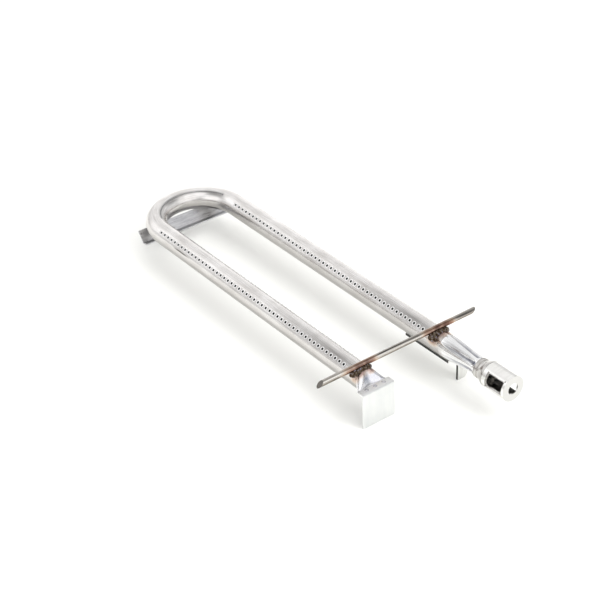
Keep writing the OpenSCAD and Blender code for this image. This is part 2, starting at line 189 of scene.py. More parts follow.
@dataclass(frozen=True)
class Tube:
    """The burner tube's own sizes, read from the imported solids."""

    radius: float
    middle_x: float
    half_spacing: float
    axis_z: float
    face_y: float
    bend_y: float
    press_y: float
    throat_y: float
    wall: float = 1.2

    @classmethod
    def from_frame(cls) -> "Tube":
        """Reads the tube's sizes from the boxes of its nodes.

        Returns:
            The tube, in millimetres.
        """
        left_low, left_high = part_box("left_leg")
        right_low, right_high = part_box("right_leg")
        foot_low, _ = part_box("front_foot")
        blind_x = (left_low[0] + left_high[0]) / 2 / MM
        gas_x = (right_low[0] + right_high[0]) / 2 / MM
        return cls(
            radius=(right_high[0] - right_low[0]) / 2 / MM,
            middle_x=(blind_x + gas_x) / 2,
            half_spacing=(gas_x - blind_x) / 2,
            axis_z=(right_low[2] + right_high[2]) / 2 / MM,
            face_y=foot_low[1] / MM,
            bend_y=left_high[1] / MM,
            press_y=left_low[1] / MM,
            throat_y=right_low[1] / MM,
        )

    def leg_x(self, side: Side) -> float:
        """Gives the X of a leg's centre line."""
        return self.middle_x + side.value * self.half_spacing


@dataclass(frozen=True)
class Rod:
    """The cross rod's centre line and radius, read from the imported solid."""

    radius: float
    y: float
    z: float

    @classmethod
    def from_frame(cls) -> "Rod":
        """Reads the rod's sizes from the box of its node."""
        low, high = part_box("cross_rod")
        return cls(radius=(high[2] - low[2]) / 2 / MM, y=(low[1] + high[1]) / 2 / MM,
                   z=(low[2] + high[2]) / 2 / MM)


# ---------- mesh making ----------

class Skin:
    """Gathers the rings and faces of one piece and turns them into an object."""

    def __init__(self, name: str) -> None:
        """Starts an empty piece with that name."""
        self.name = name
        self.mesh = bmesh.new()

    def ring(self, points: Ring) -> list[bmesh.types.BMVert]:
        """Adds one ring of points in millimetres and returns its corners."""
        return [self.mesh.verts.new(in_metres(point)) for point in points]

    def join(self, first: list[bmesh.types.BMVert], second: list[bmesh.types.BMVert]) -> None:
        """Skins the space between two rings of equally many corners.

        Args:
            first: Corners of one ring.
            second: Corners of the other, in the same order.
        """
        count = len(first)
        for i in range(count):
            j = (i + 1) % count
            self.mesh.faces.new((first[i], first[j], second[j], second[i]))

    def loft(self, rings: Sequence[Ring]) -> tuple[list, list]:
        """Skins a row of rings.

        Args:
            rings: Points of each ring, in millimetres.

        Returns:
            The corners of the first ring and of the last.
        """
        made = [self.ring(points) for points in rings]
        for first, second in zip(made, made[1:]):
            self.join(first, second)
        return made[0], made[-1]

    def cap(self, ring: list[bmesh.types.BMVert]) -> None:
        """Closes the end of a loft with a fan about the middle of its ring.

        Args:
            ring: Corners of the end's ring.
        """
        centre = sum((corner.co for corner in ring), Vector()) / len(ring)
        hub = self.mesh.verts.new(centre)
        for i, corner in enumerate(ring):
            self.mesh.faces.new((corner, ring[(i + 1) % len(ring)], hub))

    def finish(self, body: Body, slot: Slot, *replaced: str, crisp: float = 35.0
               ) -> bpy.types.Object:
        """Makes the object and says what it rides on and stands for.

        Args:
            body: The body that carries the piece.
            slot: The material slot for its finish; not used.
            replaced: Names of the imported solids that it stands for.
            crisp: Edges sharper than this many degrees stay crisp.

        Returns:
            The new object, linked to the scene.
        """
        bmesh.ops.recalc_face_normals(self.mesh, faces=self.mesh.faces)
        for face in self.mesh.faces:
            face.smooth = True
        for edge in self.mesh.edges:
            edge.smooth = edge.calc_face_angle(0.0) < math.radians(crisp)
        data = bpy.data.meshes.new(self.name)
        self.mesh.to_mesh(data)
        self.mesh.free()
        made = bpy.data.objects.new(self.name, data)
        bpy.context.scene.collection.objects.link(made)
        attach(made, body.value)
        if replaced:
            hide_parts(*replaced)
        return made


# ---------- weld places ----------

@dataclass(frozen=True)
class WeldPlace:
    """Where a weld bead joins the cross rod to a leg.

    Shift moves the bead along the rod from the leg's middle, and droop is how far its ends may
    follow the leg down. Ahead and above lead from the rod's skin and the leg's crown to the bead.
    """

    tube: Tube
    rod: Rod
    side: Side
    shift: float
    droop: float
    length: float = 28.4
    ahead: float = 0.7
    above: float = 0.3
    spread: float = 0.4
    crown_fall: float = 0.012

    @property
    def centre(self) -> Point:
        """The middle of the bead."""
        return (self.tube.leg_x(self.side) + self.shift,
                self.rod.y - self.rod.radius - self.ahead,
                self.tube.axis_z + self.tube.radius + self.above)

    def along(self, count: int) -> list[Point]:
        """Gives points spread along the bead, which follow the leg's crown.

        Args:
            count: How many points.

        Returns:
            The points, from one end of the bead to the other.
        """
        x, y, z = self.centre
        steps = [mix(-self.spread, self.spread, i / (count - 1)) * self.length
                 for i in range(count)]
        return [(x + s, y, z - self.crown_fall * (s + self.shift) ** 2) for s in steps]


# ---------- finishes ----------

class Layer:
    """A colour that lies over the bare metal, more in some places than in others."""

    colour: str

    def share(self, tree: Tree, place: Socket) -> Socket:
        """Gives how much of the colour shows.

        Args:
            tree: The material's tree.
            place: Object coordinates.

        Returns:
            The share, from 0 to 1.
        """
        raise NotImplementedError

    def apply(self, tree: Tree, place: Socket, base: Socket) -> Socket:
        """Lays the layer over a base colour.

        Args:
            tree: The material's tree.
            place: Object coordinates.
            base: The colour below the layer.

        Returns:
            The colour with the layer on it.
        """
        laid = add_node(tree, "Mix", {"data_type": "RGBA", 7: linear(self.colour)},
                        {0: self.share(tree, place), 6: base})
        return laid.outputs[2]


@dataclass(frozen=True)
class HeatTint(Layer):
    """Oxide colours that a weld leaves in stainless steel.

    They go from scorched brown at the bead through copper and straw to a faint rose further out,
    and read as a warm smear that fades into the bright metal. The stops are places between the
    scorched metal and the end of the reach, each with its colour and how much it covers.
    """

    places: tuple[Point, ...]
    reach: float
    scorched: float = 2.0
    waver: float = 3.5
    waver_size: float = 6.0
    stops: tuple[tuple[float, str, float], ...] = (
        (0.0, "#33261F", 0.95),
        (0.22, "#6E4535", 0.85),
        (0.42, "#A4775C", 0.7),
        (0.62, "#D8BBA2", 0.55),
        (0.82, "#E6D6CA", 0.3),
        (1.0, "#F0E8E3", 0.0),
    )

    @classmethod
    def around(cls, welds: Sequence[WeldPlace], reach: float) -> "HeatTint":
        """Gives the tint round some welds, from three places along each."""
        return cls(tuple(spot for weld in welds for spot in weld.along(3)), reach)

    def apply(self, tree: Tree, place: Socket, base: Socket) -> Socket:
        """Lays the colours over a base colour, by the distance to the nearest place.

        Args:
            tree: The material's tree.
            place: Object coordinates.
            base: The colour below the tint.

        Returns:
            The tinted colour.
        """
        nearest = None
        for spot in self.places:
            gap = add_node(tree, "VectorMath", {"operation": "DISTANCE", 1: in_metres(spot)},
                           {0: place}).outputs["Value"]
            nearest = gap if nearest is None else add_node(
                tree, "Math", {"operation": "MINIMUM"}, {0: nearest, 1: gap}).outputs[0]
        cloud = add_node(tree, "TexNoise", {"Scale": per_metre(self.waver_size), "Detail": 3.0},
                         {"Vector": place})
        wavy = add_node(tree, "Math", {"operation": "MULTIPLY_ADD", 1: self.waver * MM * 2},
                        {0: cloud.outputs["Fac"], 2: nearest})
        start = self.scorched + self.waver
        share = add_node(tree, "MapRange", {"From Min": start * MM,
                                            "From Max": (start + self.reach) * MM},
                         {"Value": wavy.outputs[0]})
        ramp = add_node(tree, "ValToRGB",
                        {"stops": [(p, linear(c, a)) for p, c, a in self.stops]},
                        {"Fac": share.outputs["Result"]})
        laid = add_node(tree, "Mix", {"data_type": "RGBA"},
                        {0: ramp.outputs["Alpha"], 6: base, 7: ramp.outputs["Color"]})
        return laid.outputs[2]


@dataclass(frozen=True)
class Stain(Layer):
    """A long mark on the metal, used for rubs, spots and hazes, and for painted shade, painted
    reflections and painted highlights.

    Half holds its half lengths along X, Y and Z. Fade gives the shares of them between which it
    thins out, and fray how finely its edge is torn.
    """

    middle: Point
    half: Point
    colour: str
    strength: float
    fade: tuple[float, float] = (0.6, 1.3)
    fray: float = 2.2

    def share(self, tree: Tree, place: Socket) -> Socket:
        """Gives the mark, which fades toward its frayed edge.

        Args:
            tree: The material's tree.
            place: Object coordinates.

        Returns:
            The share of its colour.
        """
        known = {"place": place}
        add_chain(tree, "VectorMath", known, (
            ("offset", "SUBTRACT", "place", in_metres(self.middle)),
            ("scaled", "MULTIPLY", "offset", Vector([per_metre(size) for size in self.half])),
        ))
        far = add_node(tree, "VectorMath", {"operation": "LENGTH"}, {0: known["scaled"]})
        fibre = add_node(tree, "TexNoise", {"Scale": self.fray, "Detail": 4.0, "Roughness": 0.7},
                         {"Vector": known["scaled"]})
        frayed = add_node(tree, "Math", {"operation": "ADD"},
                          {0: far.outputs["Value"], 1: fibre.outputs["Fac"]})
        return add_node(tree, "MapRange", {"From Min": self.fade[0], "From Max": self.fade[1],
                                           "To Min": self.strength, "To Max": 0.0},
                        {"Value": frayed.outputs[0]}).outputs["Result"]


@dataclass(frozen=True)
class FaceCast(Layer):
    """A colour on the faces that look one way, used for a sheared end's own colour and for painted
    shade and painted light on one side of a part.
    """

    way: Point
    colour: str
    strength: float
    start: float = 0.6
    full: float = 0.9

    def share(self, tree: Tree, place: Socket) -> Socket:
        """Gives the cast, from none at the start to its full strength.

        Args:
            tree: The material's tree.
            place: Object coordinates.

        Returns:
            The share of its colour.
        """
        normal = add_node(tree, "NewGeometry").outputs["Normal"]
        near = add_node(tree, "VectorMath", {"operation": "DOT_PRODUCT", 1: self.way}, {0: normal})
        return add_node(tree, "MapRange", {"From Min": self.start, "From Max": self.full,
                                           "To Max": self.strength},
                        {"Value": near.outputs["Value"]}).outputs["Result"]


@dataclass(frozen=True)
class FluteShade(Layer):
    """Painted blue-grey shade along the floor of each flute.

    It grows from first to last, two places along the tube. Near, end and waver are angles in
    degrees from the middle of a flute.
    """

    tube: Tube
    clock: float
    count: int
    first: float
    last: float
    near: float = 3.0
    end: float = 17.0
    waver: float = 7.0
    waver_size: float = 5.0
    colour: str = "#555A70"
    strength: float = 0.8

    def share(self, tree: Tree, place: Socket) -> Socket:
        """Gives the painted shade, with a wavering edge.

        Args:
            tree: The material's tree.
            place: Object coordinates.

        Returns:
            The share of its colour.
        """
        parts = add_node(tree, "SeparateXYZ", links={"Vector": place}).outputs
        cloud = add_node(tree, "TexNoise", {"Scale": per_metre(self.waver_size), "Detail": 3.0},
                         {"Vector": place})
        known = {"x": parts["X"], "z": parts["Z"], "cloud": cloud.outputs["Fac"]}
        add_chain(tree, "Math", known, (
            ("across", "SUBTRACT", "x", self.tube.leg_x(Side.GAS) * MM),
            ("upward", "SUBTRACT", "z", self.tube.axis_z * MM),
            ("turn", "ARCTAN2", "across", "upward"),
            ("from_first", "SUBTRACT", "turn", math.radians(self.clock)),
            ("from_flute", "PINGPONG", "from_first", math.pi / self.count),
            ("wave", "MULTIPLY", "cloud", math.radians(2 * self.waver)),
            ("gap", "ADD", "from_flute", "wave"),
        ))
        growth = add_node(tree, "MapRange", {"From Min": self.first * MM,
                                             "From Max": self.last * MM,
                                             "To Max": self.strength}, {"Value": parts["Y"]})
        return add_node(tree, "MapRange", {"From Min": math.radians(self.near + self.waver),
                                           "From Max": math.radians(self.end + self.waver),
                                           "To Max": 0.0},
                        {"Value": known["gap"], "To Min": growth.outputs["Result"]}
                        ).outputs["Result"]


@dataclass(frozen=True)
class PortRow:
    """Painted shade and painted highlights round the flame ports.

    Each port gets a dark painted shade round its edge and a painted highlight ring round that, on
    a slightly darker painted line along the row. First and last are the places of the end ports
    along the tube. A leg has its row on both sides of the crown, and the bend on the inner side
    alone.
    """

    tube: Tube
    first: float
    last: float
    pitch: float = 7.0
    clock: float = 43.0
    both_sides: bool = True
    # Painted shade round each port:
    shade_reach: float = 1.35
    shade_fade: float = 0.35
    # Painted highlight ring round each port:
    ring: float = 2.0
    highlight_fade: float = 0.7
    highlight_strength: float = 0.75
    # Painted shade along the row:
    line: tuple[float, float] = (1.2, 2.6)

    def apply(self, tree: Tree, place: Socket, base: Socket) -> Socket:
        """Lays the painted shade and highlights over a base colour.

        Args:
            tree: The material's tree.
            place: Coordinates that follow the tube.
            base: The skin's colour.

        Returns:
            The marked colour.
        """
        parts = add_node(tree, "SeparateXYZ", links={"Vector": place}).outputs
        middle, half = (self.first + self.last) / 2, (self.last - self.first) / 2
        row = math.radians(self.clock) * self.tube.radius
        known = {"x": parts["X"], "y": parts["Y"]}
        steps = (
            ("from_first", "SUBTRACT", "x", self.first * MM),
            ("along", "PINGPONG", "from_first", self.pitch / 2 * MM),
            ("from_middle", "SUBTRACT", "x", middle * MM),
            ("reach", "ABSOLUTE", "from_middle", 0.0),
            ("beyond", "GREATER_THAN", "reach", (half + self.pitch / 2) * MM),
            ("away", "ABSOLUTE" if self.both_sides else "ADD", "y", 0.0),
            ("across", "SUBTRACT", "away", row * MM),
            ("far", "ABSOLUTE", "across", 0.0),
            ("from_row", "ADD", "far", "beyond"),
            *length_steps("gap", "along", "across"),
            ("from_port", "ADD", "gap", "beyond"),
        )
        add_chain(tree, "Math", known, steps)
        # The painted shade along the row, the painted highlight ring and the painted shade round
        # each port: each fades between two distances.
        marks = (("from_row", "#8E8B89", 0.4, *self.line),
                 ("from_port", "#FFFFFF", self.highlight_strength, self.ring, self.ring + self.highlight_fade),
                 ("from_port", "#14110F", 0.95, self.shade_reach, self.shade_reach + self.shade_fade))
        for name, colour, strength, near, end in marks:
            share = add_node(tree, "MapRange", {"From Min": near * MM, "From Max": end * MM,
                                                "To Min": strength, "To Max": 0.0},
                             {"Value": known[name]})
            base = add_node(tree, "Mix", {"data_type": "RGBA", 7: linear(colour)},
                            {0: share.outputs["Result"], 6: base}).outputs[2]
        return base


@dataclass(frozen=True)
class Metal:
    """What every metal finish of the burner shares.

    A finish gives the colour that the metal reflects, how rough the surface is, and the height
    of its marks. All of them keep the default IOR.
    """

    name: str
    light: str = "#EDEAE8"
    dark: str = "#C9C4C0"
    roughness: tuple[float, float] = (0.2, 0.36)
    mark_depth: float = 0.02
    mark_size: float = 1.5
    mottle_size: float = 32.0
    edge_radius: float = 0.0
    layers: tuple[Layer, ...] = ()

    def place(self, tree: Tree) -> Socket:
        """Gives the object coordinates."""
        return add_node(tree, "TexCoord").outputs["Object"]

    def grain(self, tree: Tree, place: Socket) -> Socket:
        """Gives the fine marks of the surface, from 0 to 1."""
        return add_node(tree, "TexNoise", {"Scale": per_metre(self.mark_size), "Detail": 3.0},
                        {"Vector": place}).outputs["Fac"]

    def colour(self, tree: Tree, place: Socket, grain: Socket) -> Socket:
        """Gives the bare metal's colour from its marks and a broad mottling.

        Args:
            tree: The material's tree.
            place: The finish's own coordinates.
            grain: The fine marks of the surface.

        Returns:
            The colour.
        """
        cloud = add_node(tree, "TexNoise", {"Scale": per_metre(self.mottle_size), "Detail": 3.0},
                         {"Vector": place})
        both = add_node(tree, "Math", {"operation": "ADD"},
                        {0: cloud.outputs["Fac"], 1: grain})
        share = add_node(tree, "MapRange", {"From Min": TWO_NOISES_SPAN[0],
                                            "From Max": TWO_NOISES_SPAN[1]},
                         {"Value": both.outputs[0]})
        return add_node(tree, "ValToRGB",
                        {"stops": [(0.0, linear(self.dark)), (1.0, linear(self.light))]},
                        {"Fac": share.outputs["Result"]}).outputs["Color"]

    def openings(self, tree: Tree, place: Socket, base: Socket) -> Socket:
        """Lays the colours of holes and bores over all the others; a plain piece has none."""
        return base

    def build(self) -> bpy.types.Material:
        """Makes the material.

        Returns:
            The material, named for the metal.
        """
        material = bpy.data.materials.new(self.name)
        material.use_nodes = True
        tree = material.node_tree
        tree.nodes.clear()
        place = self.place(tree)
        grain = self.grain(tree, place)
        colour = self.colour(tree, place, grain)
        spot = add_node(tree, "TexCoord").outputs["Object"]
        for layer in self.layers:
            colour = layer.apply(tree, spot, colour)
        colour = self.openings(tree, place, colour)
        gloss = add_node(tree, "MapRange", {"From Min": NOISE_SPAN[0], "From Max": NOISE_SPAN[1],
                                            "To Min": self.roughness[0],
                                            "To Max": self.roughness[1]},
                         {"Value": grain})
        relief = add_node(tree, "Bump", {"Strength": 1.0, "Distance": self.mark_depth * MM},
                          {"Height": grain})
        if self.edge_radius:
            rounded = add_node(tree, "Bevel", {"samples": 4, "Radius": self.edge_radius * MM})
            tree.links.new(rounded.outputs["Normal"], relief.inputs["Normal"])
        shader = add_node(tree, "BsdfPrincipled", {"Metallic": 1.0},
                          {"Base Color": colour, "Roughness": gloss.outputs["Result"],
                           "Normal": relief.outputs["Normal"]})
        add_node(tree, "OutputMaterial", links={"Surface": shader.outputs["BSDF"]})
        return material


@dataclass(frozen=True)
class BandedSteel(Metal):
    """Steel with the long marks that rolling, drawing or turning leaves.

    The eye gets a satin with faint streaks. Band is the size of a streak along X, Y and Z.
    """

    band: Point = (1.4, 1.4, 40.0)
    band_detail: float = 3.0
    band_tear: float = 0.5

    def grain(self, tree: Tree, place: Socket) -> Socket:
        """Gives the streaks, drawn wider than the real ones so that they show.

        Args:
            tree: The material's tree.
            place: The finish's own coordinates.

        Returns:
            The streaks, from 0 to 1.
        """
        stretch = Vector([per_metre(size) for size in self.band])
        drawn = add_node(tree, "VectorMath", {"operation": "MULTIPLY", 1: stretch}, {0: place})
        return add_node(tree, "TexNoise", {"Scale": 1.0, "Detail": self.band_detail,
                                           "Roughness": self.band_tear},
                        {"Vector": drawn.outputs[0]}).outputs["Fac"]


@dataclass(frozen=True)
class DrawnTube(BandedSteel):
    """Welded stainless tube, drawn to size and belt polished along its length.

    The eye gets long soft streaks that follow the tube round the bend, a faint rose cast, and a
    bore painted dark as shade, from shade_start to shade_full of the wall below its skin.
    The band is the size of a streak along the tube, round it and below its skin.
    """

    tube: Tube | None = None
    ports: PortRow | None = None
    band: Point = (26.0, 0.9, 0.9)
    band_detail: float = 4.0
    band_tear: float = 0.6
    # Painted shade in the bore and in the ports' walls:
    bore_colour: str | None = "#0B0A0A"
    shade_start: float = 0.1
    shade_full: float = 0.3

    def place(self, tree: Tree) -> Socket:
        """Gives coordinates that follow the tube.

        Args:
            tree: The material's tree.

        Returns:
            Distances along the tube, round it from its crown, and below its skin, in metres.
        """
        tube = self.tube
        spot = add_node(tree, "TexCoord").outputs["Object"]
        parts = add_node(tree, "SeparateXYZ", links={"Vector": spot}).outputs
        known = {"x": parts["X"], "y": parts["Y"], "z": parts["Z"]}
        steps = (
            ("across", "SUBTRACT", "x", tube.middle_x * MM),
            ("past_bend", "SUBTRACT", "y", tube.bend_y * MM),
            ("in_bend", "MAXIMUM", "past_bend", 0.0),
            ("before", "MINIMUM", "past_bend", 0.0),
            ("turn", "ARCTAN2", "in_bend", "across"),
            ("side", "SIGN", "across", 0.0),
            ("round_bend", "MULTIPLY", "turn", tube.half_spacing * MM),
            ("down_leg", "MULTIPLY", "before", "side"),
            ("along", "ADD", "round_bend", "down_leg"),
            *length_steps("reach", "across", "in_bend"),
            ("outward", "SUBTRACT", "reach", tube.half_spacing * MM),
            ("upward", "SUBTRACT", "z", tube.axis_z * MM),
            ("clock", "ARCTAN2", "outward", "upward"),
            ("around", "MULTIPLY", "clock", tube.radius * MM),
            *length_steps("distance", "outward", "upward"),
            ("depth", "SUBTRACT", tube.radius * MM, "distance"),
        )
        add_chain(tree, "Math", known, steps)
        return add_node(tree, "CombineXYZ", links={
            "X": known["along"], "Y": known["around"], "Z": known["depth"]}).outputs[0]

    def openings(self, tree: Tree, place: Socket, base: Socket) -> Socket:
        """Lays the painted shade and highlights round the ports, and the painted shade in the
        bore, over the other colours.

        Args:
            tree: The material's tree.
            place: Coordinates that follow the tube.
            base: The skin's colour.

        Returns:
            The colour with the openings on it.
        """
        skin = self.ports.apply(tree, place, base) if self.ports else base
        if self.bore_colour is None:
            return skin
        # Painted shade: the bore and the ports' walls darken below the skin.
        depth = add_node(tree, "SeparateXYZ", links={"Vector": place}).outputs["Z"]
        wall = self.tube.wall * MM
        inside = add_node(tree, "MapRange", {"From Min": self.shade_start * wall,
                                             "From Max": self.shade_full * wall},
                          {"Value": depth})
        laid = add_node(tree, "Mix", {"data_type": "RGBA", 7: linear(self.bore_colour)},
                        {0: inside.outputs["Result"], 6: skin})
        return laid.outputs[2]


@dataclass(frozen=True)
class WeldMetal(Metal):
    """Weld bead as it froze, with its oxide left on.

    The eye gets dark olive and brown lumps with a wet glint, and violet where the oxide is thin.
    """

    cloud_size: float = 2.6
    colours: tuple[tuple[float, str], ...] = (
        (0.3, "#1E1814"),
        (0.45, "#4A3B2E"),
        (0.55, "#6E6354"),
        (0.66, "#8F8AA0"),
        (0.78, "#C9C2B8"),
    )

    def colour(self, tree: Tree, place: Socket, grain: Socket) -> Socket:
        """Gives the oxide's colour from its own cloud.

        Args:
            tree: The material's tree.
            place: Object coordinates.
            grain: The fine marks, which leave this colour alone.

        Returns:
            The colour.
        """
        cloud = add_node(tree, "TexNoise", {"Scale": per_metre(self.cloud_size), "Detail": 4.0,
                                            "Roughness": 0.65}, {"Vector": place})
        return add_node(tree, "ValToRGB",
                        {"stops": [(p, linear(c)) for p, c in self.colours]},
                        {"Fac": cloud.outputs["Fac"]}).outputs["Color"]


def dress(target: bpy.types.Object, material: bpy.types.Material) -> None:
    """Gives an object its finish and reports it.

    Args:
        target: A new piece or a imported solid.
        material: Its finish.
    """
    target.data.materials.clear()
    target.data.materials.append(material)
    LOG.info("%s in %s", target.name, material.name)


def dress_solids(finishes: dict[tuple[str, ...], Metal]) -> None:
    """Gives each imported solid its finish.

    Args:
        finishes: The finish for each group of nodes.
    """
    for nodes, finish in finishes.items():
        material = finish.build()
        for node in nodes:
            dress(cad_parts[node], material)


# ---------- pieces ----------

@dataclass
class PressedEnd:
    """The blind end of the tube, pressed flat between two ridges.

    Ridge is where the ridges start on the round tube, in degrees from its side, and dish is how
    steeply the scoop between them falls. The hollow reaches cavity_share of the way to the flat.
    """

    tube: Tube
    flat_w: float = 37.6
    fold_w: float = 3.2
    flat_start: float = 2.2
    press_len: float = 10.0
    flat_drop: float = 2.2
    dish: float = 2.2
    ridge: float = 74.0
    cavity_share: float = 0.75
    per_quarter: int = 18
    stations: int = 30

    def corner(self, s: float, angle: float, inset: float) -> tuple[float, float]:
        """Gives one point of a pressed section.

        Args:
            s: Share of the pressing, from the round tube to the flat.
            angle: Place on the round tube, in degrees from its side.
            inset: Depth below the outer skin.

        Returns:
            Distance from the middle, sideways and upward.
        """
        tube = self.tube
        ridge = math.radians(self.ridge)
        half_w = mix(tube.radius, self.flat_w / 2, s) - inset
        ridge_x = mix((tube.radius - inset) * math.cos(ridge), half_w - self.fold_w, s)
        ridge_z = (mix(tube.radius * math.sin(ridge), tube.wall, s)
                   - inset * mix(math.sin(ridge), 1, s))
        scoop_z = mix(tube.wall, tube.radius, (1 - s) ** self.dish) - inset
        q = math.radians(180 - angle if angle > 90 else angle)
        if q < ridge:
            x = mix(half_w, ridge_x, (1 - math.cos(q)) / (1 - math.cos(ridge)))
            z = ridge_z * math.sin(q) / math.sin(ridge)
        else:
            x = ridge_x * math.cos(q) / math.cos(ridge)
            z = mix(ridge_z, scoop_z,
                    (math.sin(q) - math.sin(ridge)) / (1 - math.sin(ridge)))
        return (-x if angle > 90 else x, z)

    def section(self, s: float, y: float, inset: float) -> Ring:
        """Gives one closed section of the pressed end.

        Args:
            s: Share of the pressing, from the round tube to the flat.
            y: Distance behind the foot's face.
            inset: Depth below the outer skin.

        Returns:
            The section's points.
        """
        tube = self.tube
        n = self.per_quarter
        quarter = ([i * self.ridge / n for i in range(n)]
                   + [self.ridge + i * (90 - self.ridge) / n for i in range(n)])
        upper = quarter + [90.0] + [180 - a for a in reversed(quarter[1:])]
        half = [self.corner(s, a, inset) for a in upper]
        level = tube.axis_z - self.flat_drop * ease(s)
        whole = half + [(-x, -z) for x, z in half]
        middle = tube.leg_x(Side.BLIND)
        return [(middle - x, tube.face_y + y, level + z) for x, z in whole]

    def build(self) -> bpy.types.Object:
        """Builds the pressed end, hollow up to where its walls meet.

        Returns:
            The piece.
        """
        tube = self.tube
        start = tube.press_y - tube.face_y
        skin = Skin("pressed_end_skin")
        shares = [k / self.stations for k in range(self.stations + 1)]
        outer = [self.section(s, start - s * self.press_len, 0) for s in shares]
        outer.append(self.section(1, self.flat_start, 0))
        inner = [self.section(s * self.cavity_share,
                              start - s * self.cavity_share * self.press_len, tube.wall)
                 for s in shares]
        outer_start, outer_end = skin.loft(outer)
        inner_start, inner_end = skin.loft(inner)
        skin.join(outer_start, inner_start)
        skin.cap(outer_end)
        skin.cap(inner_end)
        return skin.finish(Body.BURNER, Slot.FORMED, "flattened_end")


@dataclass
class Throat:
    """The gas end of the tube, crimped down to a neck with flutes.

    Start and the reaches are measured from the foot's face, and flute_half, flute_least and
    flute_clock are in degrees. The fall to the neck ends fall_past beyond the flutes, which stop
    the more sharply the larger flute_stop is.
    """

    tube: Tube
    start: float = 12.0
    fall_past: float = 3.0
    neck_od: float = 20.0
    neck_reach: float = 44.0
    neck_step: float = 0.75
    flute_count: int = 6
    flute_depth: float = 3.0
    flute_half: float = 25.0
    flute_least: float = 6.0
    flute_clock: float = -46.0
    flute_reach: float = 33.0
    flute_stop: float = 16.0
    around: int = 216
    stations: int = 60

    def flute_share(self, angle: float, half: float) -> float:
        """Gives how much of a flute's depth an angle has.

        Args:
            angle: Place round the tube, in degrees from its crown.
            half: Half the flute's width, in degrees.

        Returns:
            The share, from 0 to 1.
        """
        pitch = 360 / self.flute_count
        turn = (angle - self.flute_clock + 720 + pitch / 2) % pitch - pitch / 2
        return (1 + math.cos(math.pi * turn / half)) / 2 if abs(turn) < half else 0.0

    def section(self, y: float, inset: float) -> Ring:
        """Gives one closed section of the throat.

        Args:
            y: Distance behind the foot's face.
            inset: Depth below the outer skin.

        Returns:
            The section's points.
        """
        tube = self.tube
        fall_length = self.start + self.flute_reach + self.fall_past
        fall = ease(min(1, max(0, (self.start - y) / fall_length)))
        run = (self.start - y) / (self.start + self.flute_reach)
        deep = max(0, run) if run <= 1 else max(0, 1 - (run - 1) * self.flute_stop)
        half = max(self.flute_least, self.flute_half * math.sqrt(min(1, max(0, run))))
        base = mix(tube.radius, self.neck_od / 2, fall) - inset
        middle = tube.leg_x(Side.GAS)
        ring = []
        for i in range(self.around):
            angle = i * 360 / self.around
            r = base - self.flute_depth * deep * self.flute_share(angle, half)
            a = math.radians(angle)
            ring.append((middle + r * math.sin(a), tube.face_y + y,
                         tube.axis_z + r * math.cos(a)))
        return ring

    def marks(self) -> tuple[Layer, ...]:
        """Gives the dull start, the painted shade along each flute and the spots at the neck.

        Returns:
            The layers, lowest first.
        """
        tube, middle = self.tube, self.tube.leg_x(Side.GAS)
        neck = tube.face_y - self.flute_reach
        return (
            Stain(middle=(middle, tube.throat_y + 1.0, tube.axis_z - 5.0), half=(22.0, 10.0, 16.0),
                  colour="#B4B0AC", strength=0.75, fade=(0.9, 1.6)),
            FluteShade(tube, clock=self.flute_clock, count=self.flute_count,
                     first=tube.throat_y - 4.0, last=neck + 6.0),
            Stain(middle=(middle - 7.0, neck, tube.axis_z + 5.0), half=(2.5, 1.6, 2.5),
                  colour="#4A443C", strength=0.75),
            Stain(middle=(middle - 9.0, neck - 4.0, tube.axis_z - 2.0), half=(2.0, 2.0, 3.0),
                  colour="#8C7F68", strength=0.7),
        )

    def build(self) -> bpy.types.Object:
        """Builds the throat, open at both ends.

        Returns:
            The piece.
        """
        ys = [mix(self.start, -self.flute_reach, k / self.stations)
              for k in range(self.stations + 1)]
        ys += [-self.flute_reach - self.neck_step * k for k in range(1, 5)] + [-self.neck_reach]
        skin = Skin("fluted_throat_skin")
        outer_start, outer_end = skin.loft([self.section(y, 0) for y in ys])
        inner_start, inner_end = skin.loft([self.section(y, self.tube.wall) for y in ys])
        skin.join(outer_start, inner_start)
        skin.join(outer_end, inner_end)
        return skin.finish(Body.BURNER, Slot.FORMED, "venturi_throat")


